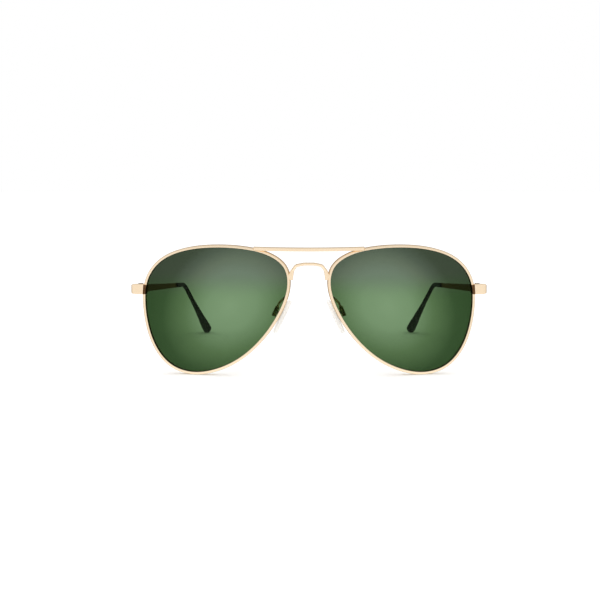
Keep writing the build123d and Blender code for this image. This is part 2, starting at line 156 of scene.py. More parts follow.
# How finely the curved pieces are divided: lengths in millimetres, and counts.
BRIDGE_STEP = 0.12
PLATE_STEP = 0.1
WIRE_STEP = 0.7
TIP_STEP = 0.25
TIP_POINTS = 40
END_RINGS = 14
END_POINT = 0.3  # how far short of the pole the last ring stops, as a share of a step
ARM_STEPS = 40
PAD_WIRE_STEP = 0.15
PAD_RINGS = 33
PAD_POINTS = 64
PAD_POLE = 0.1  # how far short of the middle of a face its last ring stops, in steps

SOFT_LIGHT = 1.34  # how bright the surroundings are for matt surfaces


# ---- Shape helpers -----------------------------------------------------------------------------


def at(x, depth, z):
    """A point from its distance across, its depth behind the lens fronts and its height."""
    return np.array([x, depth - DEPTH_CENTRE, z], float)


def unit(vector):
    return np.asarray(vector, float) / np.linalg.norm(vector)


def closed_spline(points, count):
    """Points and tangents at even steps round a smooth closed curve through the given points."""
    knots = np.asarray(points, float)
    size = len(knots)
    spans = np.linalg.norm(np.roll(knots, -1, 0) - knots, axis=1)
    system = np.zeros((size, size))
    right = np.zeros_like(knots)
    for i in range(size):
        before, after = spans[i - 1], spans[i]
        system[i, i - 1] = after
        system[i, i] = 2 * (before + after)
        system[i, (i + 1) % size] = before
        rise_in = (knots[i] - knots[i - 1]) / before
        rise_out = (knots[(i + 1) % size] - knots[i]) / after
        right[i] = 3 * (after * rise_in + before * rise_out)
    slopes = np.linalg.solve(system, right)
    ends = np.cumsum(spans)
    places, tangents = [], []
    for along in np.arange(count) / count * ends[-1]:
        i = min(int(np.searchsorted(ends, along, side="right")), size - 1)
        span = spans[i]
        t = (along - (ends[i] - span)) / span
        a, b = knots[i], knots[(i + 1) % size]
        ma, mb = slopes[i] * span, slopes[(i + 1) % size] * span
        places.append(
            (2 * t**3 - 3 * t**2 + 1) * a
            + (t**3 - 2 * t**2 + t) * ma
            + (3 * t**2 - 2 * t**3) * b
            + (t**3 - t**2) * mb
        )
        tangents.append(
            (6 * t**2 - 6 * t) * a
            + (3 * t**2 - 4 * t + 1) * ma
            + (6 * t - 6 * t**2) * b
            + (3 * t**2 - 2 * t) * mb
        )
    return np.array(places), np.array([unit(v) for v in tangents])


def rounded_path(corners, radii, step):
    """Points along straight runs joined by arcs, with the direction at each."""
    corners = [np.asarray(c, float) for c in corners]
    places = [corners[0]]
    for i in range(1, len(corners) - 1):
        inwards = unit(corners[i] - corners[i - 1])
        outwards = unit(corners[i + 1] - corners[i])
        half = 0.5 * np.arccos(np.clip(inwards @ outwards, -1, 1))
        radius = radii[i - 1]
        start = corners[i] - inwards * radius * tan(half)
        centre = corners[i] + unit(outwards - inwards) * radius / cos(half)
        side = unit(start - centre)
        count = max(4, int(2 * half * radius / step))
        run = np.linalg.norm(start - places[-1])
        for k in range(1, int(run / (4 * step))):
            places.append(places[-1] + inwards * 4 * step)
        for k in range(count + 1):
            angle = 2 * half * k / count
            places.append(centre + radius * (side * cos(angle) + inwards * sin(angle)))
    run = np.linalg.norm(corners[-1] - places[-1])
    along = unit(corners[-1] - places[-1])
    for k in range(1, int(run / (4 * step))):
        places.append(places[-1] + along * 4 * step)
    places.append(corners[-1])
    places = np.array(places)
    ahead = np.gradient(places, axis=0)
    return places, np.array([unit(v) for v in ahead])


def rounded_rectangle(width, height, radii, steps=4):
    """Points round a rectangle with rounded corners, as (x, y), from its upper right corner."""
    points = []
    for corner in range(4):
        start = corner * pi / 2
        radius = radii[corner] if isinstance(radii, tuple) else radii
        cx = (width / 2 - radius) * (1 if corner in (0, 3) else -1)
        cy = (height / 2 - radius) * (1 if corner in (0, 1) else -1)
        for k in range(steps + 1):
            angle = start + pi / 2 * k / steps
            points.append((cx + radius * cos(angle), cy + radius * sin(angle)))
    return np.array(points)


def circle(radius, count=24):
    angles = np.arange(count) / count * 2 * pi
    return np.stack([radius * np.cos(angles), radius * np.sin(angles)], 1)


def section(centre, side, up, outline):
    """An outline of (x, y) points placed across side and up about a centre."""
    return centre + outline[:, :1] * side + outline[:, 1:] * up


def mesh_object(name, vertices, faces, sharp=35.0):
    """A smooth-shaded mesh from millimetre vertices, with its steeper edges kept sharp."""
    mesh = bpy.data.meshes.new(name)
    mesh.from_pydata([tuple(float(c) * MM for c in v) for v in vertices], [], faces)
    mesh.validate()
    mesh.shade_smooth()
    mesh.set_sharp_from_angle(angle=radians(sharp))
    piece = bpy.data.objects.new(name, mesh)
    bpy.context.scene.collection.objects.link(piece)
    return piece


def loft(name, sections, sharp=35.0):
    """A closed skin over sections with equal point counts, capped at both ends."""
    sections = np.asarray(sections)
    count, size = sections.shape[:2]
    vertices = sections.reshape(-1, 3)
    faces = []
    for i in range(count - 1):
        after = i + 1
        for j in range(size):
            k = (j + 1) % size
            faces.append((i * size + j, i * size + k, after * size + k, after * size + j))
    faces.append(tuple(reversed(range(size))))
    faces.append(tuple((count - 1) * size + j for j in range(size)))
    return outward(mesh_object(name, vertices, faces, sharp))


def outward(piece):
    """Turn the faces of a closed mesh to face out of it."""
    mesh = piece.data
    corners = np.array([v.co for v in mesh.vertices])
    volume = 0.0
    for face in mesh.polygons:
        ring = [corners[i] for i in face.vertices]
        for a, b in zip(ring[1:-1], ring[2:]):
            volume += float(np.dot(ring[0], np.cross(a, b)))
    if volume < 0:
        mesh.flip_normals()
    return piece


def mirrored(points, sign):
    """Points of the wearer's left side, or their mirror image on the right."""
    return np.asarray(points) * np.array([sign, 1, 1])


def finish_piece(piece, material, body, slot, *replaced):
    """Give a piece its material and body, and hide the CAD nodes that it stands for; the slot is
    not used.
    """
    piece.data.materials.clear()
    piece.data.materials.append(material)
    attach(piece, body)
    if replaced:
        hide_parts(*replaced)
    return piece


# ---- Materials ---------------------------------------------------------------------------------


# The lens's green glass with a painted highlight: where the painted highlight is lightest, from the
# lens centre towards the temple and up, how far it fades out, how it leans towards the nose with
# height and how tall it is for its width, and the colours seen against white from the darker green
# at the edge to that painted highlight.
HIGHLIGHT_ACROSS = -6.0
HIGHLIGHT_ABOVE = 1.5
HIGHLIGHT_REACH = 44.0
HIGHLIGHT_LEAN = 0.18
HIGHLIGHT_TALL = 1.06
HIGHLIGHT_NOSE_SIDE = 0.86  # how much slower it changes towards the nose
# Heights above the lens centre where a painted reflection of the dark surroundings starts to grey
# the top of the lens, and where it is full.
REFLECTION_GREY_START = 4.0
REFLECTION_GREY_FULL = 16.0
GREEN_PAINTED_HIGHLIGHT = [
    (0.0, (40, 62, 33)),
    (0.2, (42, 65, 35)),
    (0.4, (49, 73, 42)),
    (0.6, (77, 103, 67)),
    (0.8, (106, 133, 98)),
    (1.0, (114, 141, 106)),
]
# The painted reflection's greys, seen against white, from the edge to the painted highlight.
GREY_PAINTED_REFLECTION = [
    (0.0, (50, 60, 46)),
    (0.4, (57, 68, 53)),
    (0.5, (72, 84, 70)),
    (0.6, (90, 103, 86)),
    (0.71, (100, 116, 99)),
]
LAMP_TINT = (0.85, 0.85, 0.82, 1)  # how the glass colours light that passes on to other things


class Tree:
    """A short way to build node trees: each call adds a node and returns its main output."""

    def __init__(self, owner):
        owner.use_nodes = True
        self.nodes = owner.node_tree.nodes
        self.links = owner.node_tree.links
        self.nodes.clear()

    def add(self, kind, **settings):
        node = self.nodes.new(kind)
        for key, value in settings.items():
            setattr(node, key, value)
        return node

    def put(self, socket, value):
        if isinstance(value, bpy.types.NodeSocket):
            self.links.new(value, socket)
        elif value is not None:
            socket.default_value = value

    def math(self, operation, a, b=None, clamp=False):
        node = self.add("ShaderNodeMath", operation=operation, use_clamp=clamp)
        self.put(node.inputs[0], a)
        self.put(node.inputs[1], b)
        return node.outputs[0]

    def noise(self, vector, scale, detail=3.0, roughness=0.55):
        node = self.add("ShaderNodeTexNoise")
        self.put(node.inputs["Vector"], vector)
        self.put(node.inputs["Scale"], scale)
        self.put(node.inputs["Detail"], detail)
        self.put(node.inputs["Roughness"], roughness)
        return node.outputs["Fac"]

    def stretched(self, vector, scale):
        node = self.add("ShaderNodeMapping")
        self.put(node.inputs["Vector"], vector)
        self.put(node.inputs["Scale"], scale)
        return node.outputs["Vector"]

    def span(self, value, low, high, to_low, to_high, smooth=False):
        node = self.add("ShaderNodeMapRange")
        node.interpolation_type = "SMOOTHSTEP" if smooth else "LINEAR"
        names = ("From Min", "From Max", "To Min", "To Max")
        for name, number in zip(names, (low, high, to_low, to_high)):
            node.inputs[name].default_value = number
        self.put(node.inputs["Value"], value)
        return node.outputs["Result"]

    def blend(self, factor, a, b):
        node = self.add("ShaderNodeMix", data_type="RGBA")
        self.put(node.inputs["Factor"], factor)
        self.put(node.inputs["A"], a)
        self.put(node.inputs["B"], b)
        return node.outputs["Result"]

    def ramp(self, value, stops):
        node = self.add("ShaderNodeValToRGB")
        points = node.color_ramp.elements
        while len(points) < len(stops):
            points.new(1.0)
        for point, (position, colour) in zip(points, stops):
            point.position = position
            point.color = colour
        self.put(node.inputs["Fac"], value)
        return node.outputs["Color"]

    def bump(self, height, strength, distance):
        node = self.add("ShaderNodeBump")
        node.inputs["Strength"].default_value = strength
        node.inputs["Distance"].default_value = distance
        self.put(node.inputs["Height"], height)
        return node.outputs["Normal"]

    def coordinates(self):
        return self.add("ShaderNodeTexCoord").outputs["Object"]

    def shader(self, **sockets):
        node = self.add("ShaderNodeBsdfPrincipled")
        for name, value in sockets.items():
            self.put(node.inputs[name.replace("_", " ")], value)
        return node.outputs["BSDF"]

    def output(self, surface):
        node = self.add("ShaderNodeOutputMaterial")
        self.links.new(surface, node.inputs["Surface"])


def linear(red, green, blue):
    """A linear colour from the 0 to 255 values that a screen shows."""
    values = []
    for level in (red, green, blue):
        share = level / 255
        values.append(share / 12.92 if share <= 0.04045 else ((share + 0.055) / 1.055) ** 2.4)
    return (*values, 1.0)


def metal(name, bright, worn, roughness, rim_colour, scratch=0.05):
    """Polished metal with faint drawing lines, small scratches and slightly uneven tone."""
    material = bpy.data.materials.new(name)
    tree = Tree(material)
    place = tree.coordinates()
    tone = tree.noise(place, 90.0, 4.0)
    grain = tree.noise(tree.stretched(place, (1.0, 0.12, 1.0)), 5200.0, 2.0)
    patches = tree.noise(place, 700.0, 5.0, 0.65)
    colour = tree.blend(tree.span(tone, 0.35, 0.75, 0.0, 1.0), bright, worn)
    rough = tree.math("ADD", tree.span(patches, 0.3, 0.75, -0.04, 0.07), roughness)
    relief = tree.math("ADD", tree.math("MULTIPLY", grain, 0.5), patches)
    tree.output(
        tree.shader(
            Base_Color=colour,
            Metallic=1.0,
            Roughness=rough,
            Specular_Tint=rim_colour,
            Normal=tree.bump(relief, scratch, 0.00002),
        )
    )
    return material


def acetate():
    """Black polished acetate, faintly mottled in its depth."""
    material = bpy.data.materials.new("black_acetate_gloss")
    tree = Tree(material)
    place = tree.coordinates()
    mottle = tree.noise(tree.stretched(place, (1.0, 1.0, 0.4)), 260.0, 4.0)
    deep = (0.006, 0.0062, 0.006, 1)
    pale = (0.018, 0.017, 0.015, 1)
    colour = tree.blend(tree.span(mottle, 0.4, 0.7, 0.0, 1.0), deep, pale)
    polish = tree.noise(place, 1500.0, 3.0)
    tree.output(
        tree.shader(
            Base_Color=colour,
            Roughness=tree.span(polish, 0.3, 0.7, 0.14, 0.24),
            IOR=1.48,
            Specular_IOR_Level=0.35,
            Coat_Weight=0.12,
            Coat_Roughness=0.06,
            Normal=tree.bump(polish, 0.04, 0.00002),
        )
    )
    return material


def see_through(tree, glass, lamps):
    """Glass that lets light through to matt things without bending it, tinted by a colour."""
    clear = tree.add("ShaderNodeBsdfTransparent")
    tree.put(clear.inputs["Color"], lamps)
    mix = tree.add("ShaderNodeMixShader")
    rays = tree.add("ShaderNodeLightPath").outputs
    tree.put(mix.inputs[0], tree.math("MAXIMUM", rays["Is Shadow Ray"], rays["Is Diffuse Ray"]))
    tree.links.new(glass, mix.inputs[1])
    tree.links.new(clear.outputs[0], mix.inputs[2])
    tree.output(mix.outputs[0])


def lens_glass():
    """Green sun glass with painted light: a painted highlight lightest near its middle, deeper
    green towards its edge, and a painted grey reflection at its top.
    """
    material = bpy.data.materials.new("green_sun_glass")
    tree = Tree(material)
    place = tree.add("ShaderNodeSeparateXYZ")
    tree.links.new(tree.coordinates(), place.inputs[0])
    sideways = tree.math("ABSOLUTE", place.outputs["X"])
    across = tree.math("SUBTRACT", sideways, (LENS_X + HIGHLIGHT_ACROSS) * MM)
    above = tree.math("SUBTRACT", place.outputs["Z"], (LENS_Z + HIGHLIGHT_ABOVE) * MM)
    leaning = tree.math("ADD", across, tree.math("MULTIPLY", above, HIGHLIGHT_LEAN))
    leaning = tree.math("MAXIMUM", leaning, tree.math("MULTIPLY", leaning, HIGHLIGHT_NOSE_SIDE))
    highlight_place = tree.add("ShaderNodeCombineXYZ")
    tree.put(highlight_place.inputs["X"], tree.math("DIVIDE", leaning, HIGHLIGHT_REACH * MM))
    tree.put(highlight_place.inputs["Y"], tree.math("DIVIDE", above, HIGHLIGHT_REACH * HIGHLIGHT_TALL * MM))
    # A painted highlight: lightest at its place, fading out towards the lens edge.
    painted_highlight = tree.add("ShaderNodeTexGradient", gradient_type="SPHERICAL")
    tree.links.new(highlight_place.outputs[0], painted_highlight.inputs["Vector"])
    greens_with_painted_highlight = tree.ramp(painted_highlight.outputs["Fac"], [(at_share, linear(*c)) for at_share, c in GREEN_PAINTED_HIGHLIGHT])
    painted_reflection_greys = tree.ramp(painted_highlight.outputs["Fac"], [(at_share, linear(*c)) for at_share, c in GREY_PAINTED_REFLECTION])
    # A painted reflection of the dark surroundings greys the top of the lens.
    reflection_from, reflection_full = (LENS_Z + REFLECTION_GREY_START) * MM, (LENS_Z + REFLECTION_GREY_FULL) * MM
    painted_reflection_share = tree.span(place.outputs["Z"], reflection_from, reflection_full, 0.0, 1.0, smooth=True)
    tint_with_painted_light = tree.blend(painted_reflection_share, greens_with_painted_highlight, painted_reflection_greys)
    wipe = tree.noise(tree.stretched(tree.coordinates(), (1.0, 1.0, 0.35)), 120.0, 4.0)
    facing = tree.add("ShaderNodeLayerWeight").outputs["Facing"]
    glass = tree.shader(
        Base_Color=tint_with_painted_light,
        Roughness=tree.span(wipe, 0.3, 0.8, 0.0, 0.015),
        IOR=1.09,
        Transmission_Weight=1.0,
        Coat_Weight=tree.span(facing, 0.2, 0.75, 0.0, 0.9),
        Coat_Roughness=0.02,
    )
    see_through(tree, glass, LAMP_TINT)
    return material


def silicone():
    """Clear moulded silicone, slightly cloudy."""
    material = bpy.data.materials.new("clear_soft_silicone")
    tree = Tree(material)
    place = tree.coordinates()
    cloud = tree.noise(place, 420.0, 3.0)
    skin = tree.noise(place, 2600.0, 2.0)
    rubber = tree.shader(
        Base_Color=tree.blend(cloud, (0.97, 0.95, 0.925, 1), (0.93, 0.91, 0.88, 1)),
        Roughness=tree.span(skin, 0.3, 0.7, 0.28, 0.4),
        IOR=1.41,
        Transmission_Weight=0.2,
        Normal=tree.bump(skin, 0.08, 0.00002),
    )
    see_through(tree, rubber, (0.95, 0.95, 0.93, 1))
    return material


WARM = (0.95, 0.68, 0.42, 1)
WHITE = (1, 1, 1, 1)
GOLD = metal("polished_gold", (0.97, 0.79, 0.575, 1), (0.95, 0.755, 0.53, 1), 0.2, WARM)
# Pad wires and boxes: satin gold, darkened as painted shade.
SATIN_GOLD_WITH_PAINTED_SHADE = metal("hardware_gold_with_painted_shade", (0.85, 0.63, 0.4, 1), (0.75, 0.54, 0.33, 1), 0.3, WARM, 0.1)
# Locks and hinges: gold given a dark brown colour as painted shade, for the shade they sit in
# between the plates, rims and legs.
DARK_PAINTED_SHADE_GOLD = metal("lock_gold_painted_shade", (0.17, 0.095, 0.045, 1), (0.11, 0.058, 0.028, 1), 0.36, WARM, 0.12)
STEEL = metal("screw_steel_finish", (0.72, 0.7, 0.67, 1), (0.6, 0.58, 0.55, 1), 0.28, WHITE, 0.12)
ACETATE = acetate()
GLASS = lens_glass()
SILICONE = silicone()

# ---- Rims and lenses ---------------------------------------------------------------------------

ACROSS_LENS = np.array([cos(FACE_FORM), sin(FACE_FORM), 0])
OUT_OF_LENS = np.array([sin(FACE_FORM), -cos(FACE_FORM), 0])
UP = np.array([0, 0, 1.0])
LENS_ORIGIN = at(LENS_X, 0, LENS_Z)

RIM_STEPS = 480
edge_places, edge_tangents = closed_spline(OPENING, RIM_STEPS)
edge_normals = np.stack([edge_tangents[:, 1], -edge_tangents[:, 0]], 1)


def on_lens(flat, depth):
    """Points over the lens plane, a depth behind the sphere that the rim's front lies on."""
    flat = np.atleast_2d(flat)
    radius = RIM_SPHERE - np.asarray(depth, float)
    rise = np.sqrt(radius**2 - (flat**2).sum(1)) - RIM_SPHERE
    return (
        LENS_ORIGIN
        + flat[:, :1] * ACROSS_LENS
        + flat[:, 1:] * UP
        + rise[:, None] * OUT_OF_LENS
    )


def corner(centre, radius, start, steps):
    """Points round a quarter turn, as (growth, depth)."""
    points = []
    for k in range(steps + 1):
        angle = start + pi / 2 * k / steps
        points.append((centre[0] + radius * cos(angle), centre[1] + radius * sin(angle)))
    return points


FRONT_INNER_ROUND = 0.3
FRONT_OUTER_ROUND = 0.42
BACK_ROUND = 0.4
SMALL_ROUND = 0.12
GROOVE_BACK = FRONT_LIP + GROOVE_WIDTH
rim_profile = np.array(
    corner((FRONT_INNER_ROUND, FRONT_INNER_ROUND), FRONT_INNER_ROUND, pi, 7)
    + corner((RIM_WIDTH - FRONT_OUTER_ROUND, FRONT_OUTER_ROUND), FRONT_OUTER_ROUND, -pi / 2, 9)
    + corner((RIM_WIDTH - BACK_ROUND, RIM_DEPTH - BACK_ROUND), BACK_ROUND, 0, 7)
    + corner((SMALL_ROUND, RIM_DEPTH - SMALL_ROUND), SMALL_ROUND, pi / 2, 4)
    + [(0, GROOVE_BACK), (GROOVE_DEPTH, GROOVE_BACK), (GROOVE_DEPTH, FRONT_LIP), (0, FRONT_LIP)]
)


def rim_sections():
    """The rim's sections from its upper end, above the lock, right round to its lower end."""
    temple_side = edge_places[:, 0] > 0
    heights = edge_places[:, 1] + LENS_Z
    in_lock = temple_side & (heights > LOCK_BOTTOM) & (heights < LOCK_TOP)
    above = max(i for i in range(RIM_STEPS) if in_lock[i - 1] and not in_lock[i])
    rows = []
    for growth, depth in rim_profile:
        row = on_lens(edge_places + edge_normals * growth, depth)
        row = np.roll(row, -above, axis=0)[: RIM_STEPS - int(in_lock.sum())]
        for height, end, inner in ((LOCK_TOP, 0, 1), (LOCK_BOTTOM, -1, -2)):
            share = (height - row[inner][2]) / (row[end][2] - row[inner][2])
            row[end] = row[inner] + (row[end] - row[inner]) * share
        rows.append(row)
    return np.stack(rows, 1)


LENS_RINGS = 26
LENS_BEVEL = 0.1
LENS_POLE = 0.15  # where the innermost ring lies, in steps from the middle
LENS_FRONT = FRONT_LIP + (GROOVE_WIDTH - LENS_THICK) / 2


def lens_sections():
    """Rings over the front of the lens, round its edge and back over its rear face."""
    inner = edge_places[::2] + edge_normals[::2] * (LENS_BITE - LENS_BEVEL)
    outer = edge_places[::2] + edge_normals[::2] * LENS_BITE
    back = LENS_FRONT + LENS_THICK
    quarter = pi / 2 / (LENS_RINGS + LENS_POLE)
    shares = [sin(quarter * (k + LENS_POLE)) for k in range(LENS_RINGS + 1)]
    front = [on_lens(inner * share, LENS_FRONT) for share in shares]
    sides = [on_lens(outer, LENS_FRONT + LENS_BEVEL), on_lens(outer, back - LENS_BEVEL)]
    rear = [on_lens(inner * share, back) for share in reversed(shares)]
    return np.array(front + sides + rear)


def rim_place(point):
    """How far a point on the left is outside the lens opening and behind the rim's front."""
    local = point - LENS_ORIGIN
    flat = np.array([local @ ACROSS_LENS, local @ UP])
    nearest = int(np.argmin(((edge_places - flat) ** 2).sum(1)))
    growth = float((flat - edge_places[nearest]) @ edge_normals[nearest])
    ball = local + OUT_OF_LENS * RIM_SPHERE
    return growth, RIM_SPHERE - float(np.linalg.norm(ball))


for side, sign in SIDES.items():
    rim = loft(f"rim_metal_{side}", [mirrored(s, sign) for s in rim_sections()], sharp=40)
    finish_piece(rim, GOLD, "front", "gold_frame", f"rim_{side}")
    lens = loft(f"lens_glass_{side}", [mirrored(s, sign) for s in lens_sections()], sharp=30)
    finish_piece(lens, GLASS, "front", "green_glass", f"lens_{side}")

# ---- Top bar and bridge ------------------------------------------------------------------------


def bow(x, middle, end):
    """A shallow arc across the glasses: its value at x, from those at the middle and the ends."""
    rise = abs(end - middle)
    radius = (BAR_HALF_LENGTH**2 + rise**2) / (2 * rise)
    return middle + (radius - sqrt(radius**2 - x**2)) * (1 if end > middle else -1)


def clear_of_rims(points, sunk):
    """Points moved forward where they would lie in a rim, to leave them just under its front."""
    moved = []
    for point in points:
        left = point * np.array([1 if point[0] >= 0 else -1, 1, 1])
        growth, depth = rim_place(left)
        if growth < RIM_WIDTH and depth > sunk:
            left = left + OUT_OF_LENS * (depth - sunk)
        moved.append(left * np.array([1 if point[0] >= 0 else -1, 1, 1]))
    return np.array(moved)


bar_sections = []
BAR_STEPS = 168
for k in range(-1, BAR_STEPS + 2):
    x = BAR_HALF_LENGTH * max(-1, min(1, 2 * k / BAR_STEPS - 1))
    ease = BAR_END_EASE if k < 0 or k > BAR_STEPS else 0
    if ease == 0 and abs(x) == BAR_HALF_LENGTH:
        x -= np.sign(x) * BAR_END_EASE
    radii = tuple(radius - ease / 2 for radius in (BAR_ROUND, BAR_TOP_ROUND, BAR_ROUND, BAR_ROUND))
    outline = rounded_rectangle(BAR_DEEP - 2 * ease, BAR_HEIGHT - 2 * ease, radii)
    depth = bow(x, BAR_FRONT_MIDDLE, BAR_FRONT_END) + BAR_DEEP / 2
    centre = at(x, depth, bow(x, BAR_MIDDLE_Z, BAR_END_Z))
    ring = section(centre, np.array([0, 1.0, 0]), UP, outline)
    bar_sections.append(clear_of_rims(ring, SUNK))
bar = loft("brow_bar", bar_sections, sharp=40)
finish_piece(bar, GOLD, "front", "gold_frame", "top_bar")

bridge_corners = [at(*p) for p in BRIDGE_ROUTE]
bridge_corners += [at(-x, depth, z) for x, depth, z in reversed(BRIDGE_ROUTE)]
bridge_places, bridge_tangents = rounded_path(bridge_corners, [BRIDGE_BEND] * 6, BRIDGE_STEP)
bridge_rings = []
for place, along in zip(bridge_places, bridge_tangents):
    leg = min(1.0, max(0.0, (LEG_FLAT_TOP - place[2]) / LEG_FLAT_RUN))
    squareness = 2 + 2.4 * leg * leg * (3 - 2 * leg)
    backwards = np.array([0, 1.0, 0])
    side = unit(np.cross(along, backwards))
    deep = unit(np.cross(side, along))
    ring = []
    for x, y in circle(1.0, 32):
        reach = BRIDGE_RADIUS / (abs(x) ** squareness + abs(y) ** squareness) ** (1 / squareness)
        point = place + side * x * reach + deep * y * reach
        rimward = max(0.0, (point[0] - place[0]) * np.sign(place[0])) / BRIDGE_RADIUS
        point[0] += np.sign(place[0]) * LEG_FLARE * rimward * leg
        ring.append(point)
    bridge_rings.append(clear_of_rims(np.array(ring), SUNK))
bridge = loft("bridge_wire", bridge_rings, sharp=50)
finish_piece(bridge, GOLD, "front", "gold_frame", "bridge")

# ---- End pieces --------------------------------------------------------------------------------

LEG_END_PLACE = at(*LEG_END)
SLEEVE_START_PLACE = at(*SLEEVE_START)
BEND_PLACE = at(*BEND)
TIP_PLACE = at(*TIP)
ARM_DIRECTION = unit(SLEEVE_START_PLACE - LEG_END_PLACE)
DROP_DIRECTION = unit(TIP_PLACE - BEND_PLACE)
HINGE_AXIS = unit([0, -ARM_DIRECTION[2], ARM_DIRECTION[1]])
OUTWARDS = unit(np.cross(ARM_DIRECTION, HINGE_AXIS))


def end_piece_sections():
    """The plate, from beside the rim out to its turn, then the leg back to the hinge."""
    flat_end = LEG_END_PLACE * np.array([1, 1, 0])
    corners = [
        at(PLATE_START, PLATE_START_DEPTH, 0),
        at(PLATE_TURN, PLATE_TURN_DEPTH, 0),
        flat_end,
    ]
    places, tangents = rounded_path(corners, [PLATE_ROUND], PLATE_STEP)
    turn_depth = PLATE_TURN_DEPTH - DEPTH_CENTRE
    plate_middle = (PLATE_TOP + PLATE_BOTTOM) / 2
    plate_height = PLATE_TOP - PLATE_BOTTOM
    rings = []
    for place, along in zip(places, tangents):
        share = max(0.0, (place[1] - turn_depth) / (flat_end[1] - turn_depth))
        centre = np.array([place[0], place[1], plate_middle + (LEG_END[2] - plate_middle) * share])
        height = plate_height + (ARM_HEIGHT - plate_height) * share
        turned = min(1.0, max(0.0, (place[0] - PLATE_TURN + PLATE_ROUND) / PLATE_ROUND))
        height -= CORNER_DIP * turned**2 * (1 - share)
        up = unit(UP * (1 - share) + HINGE_AXIS * share)
        side = unit(np.cross(along, UP))
        outline = rounded_rectangle(PLATE_THICK, height, PLATE_EDGE_ROUND)
        rings.append(section(centre, side, up, outline))
    # The plate's inner end leans over towards the nose at its top.
    for point in rings[0]:
        point += tangents[0] * PLATE_SLANT * (1 - 2 * (point[2] - plate_middle) / plate_height)
    # The leg's end is square to the temple.
    last = rings[-1]
    face = LEG_END_PLACE - ARM_DIRECTION * END_GAP / 2
    for i, point in enumerate(last):
        last[i] = point - ARM_DIRECTION * ((point - face) @ ARM_DIRECTION)
    return rings


for side, sign in SIDES.items():
    plate = loft(f"end_plate_{side}", [mirrored(s, sign) for s in end_piece_sections()], sharp=40)
    finish_piece(plate, GOLD, "front", "gold_frame", f"end_piece_{side}")

# ---- Temples -----------------------------------------------------------------------------------

half_bend = 0.5 * np.arccos(ARM_DIRECTION @ DROP_DIRECTION)
bend_end = BEND_PLACE + DROP_DIRECTION * BEND_RADIUS * tan(half_bend)
wire_end = bend_end + DROP_DIRECTION * WIRE_DROP
drop_length = float(np.linalg.norm(TIP_PLACE - bend_end))
sleeve_length = float(np.linalg.norm(BEND_PLACE - SLEEVE_START_PLACE))
sleeve_straight = sleeve_length - BEND_RADIUS * tan(half_bend)


def square_circle(radius, count):
    """A circle whose points run in step with those of rounded_rectangle."""
    angles = (np.arange(count) + 0.5) / count * 2 * pi
    return np.stack([radius * np.cos(angles), radius * np.sin(angles)], 1)


def swept(places, tangents, outlines, side):
    """Sections along a path that turn with it as little as they can."""
    rings = []
    for place, along, outline in zip(places, tangents, outlines):
        side = unit(side - along * (side @ along))
        rings.append(section(place, side, unit(np.cross(along, side)), outline))
    return rings


def arm_sections():
    """The flat arm, narrowing towards the sleeve, then the wire that runs on inside it."""
    start = LEG_END_PLACE + ARM_DIRECTION * END_GAP / 2
    run = float(np.linalg.norm(SLEEVE_START_PLACE - start))
    rings = []
    stops = [(run * k / ARM_STEPS, 0) for k in range(1, ARM_STEPS + 1)]
    for along, ease in [(0, ARM_START_EASE), (ARM_START_EASE, 0)] + stops:
        share = along / run
        width = ARM_THICK + (ARM_END_THICK - ARM_THICK) * share - 2 * ease
        height = ARM_HEIGHT + (ARM_END_HEIGHT - ARM_HEIGHT) * share - 2 * ease
        outline = rounded_rectangle(width, height, ARM_EDGE_ROUND, 5)
        rings.append(section(start + ARM_DIRECTION * along, OUTWARDS, HINGE_AXIS, outline))
    corners = [SLEEVE_START_PLACE, BEND_PLACE, wire_end]
    places, tangents = rounded_path(corners, [BEND_RADIUS], WIRE_STEP)
    outlines = [square_circle(WIRE_RADIUS, 24)] * len(places)
    return rings + swept(places, tangents, outlines, OUTWARDS)


def tip_radius(along):
    """The tip's radius, from the distance along it from the start of the sleeve."""
    if along <= sleeve_straight:
        return SOCKET_RADIUS + (NECK_RADIUS - SOCKET_RADIUS) * along / sleeve_straight
    bend_length = 2 * half_bend * BEND_RADIUS
    share = (along - sleeve_straight - bend_length) / drop_length
    if share <= 0:
        return NECK_RADIUS
    knots = [(0.0, NECK_RADIUS), *TIP_SWELL, (1.0, TIP_RADIUS)]
    shares = [knot[0] for knot in knots]
    radii = [knot[1] for knot in knots]
    slopes = [0.0]
    for k in (1, 2):
        slopes.append((radii[k + 1] - radii[k - 1]) / (shares[k + 1] - shares[k - 1]))
    slopes.append(0.0)
    k = min(2, int(np.searchsorted(shares, min(share, 1.0), side="left")) - 1)
    span = shares[k + 1] - shares[k]
    t = (min(share, 1.0) - shares[k]) / span
    return (
        (2 * t**3 - 3 * t**2 + 1) * radii[k]
        + (t**3 - 2 * t**2 + t) * slopes[k] * span
        + (3 * t**2 - 2 * t**3) * radii[k + 1]
        + (t**3 - t**2) * slopes[k + 1] * span
    )


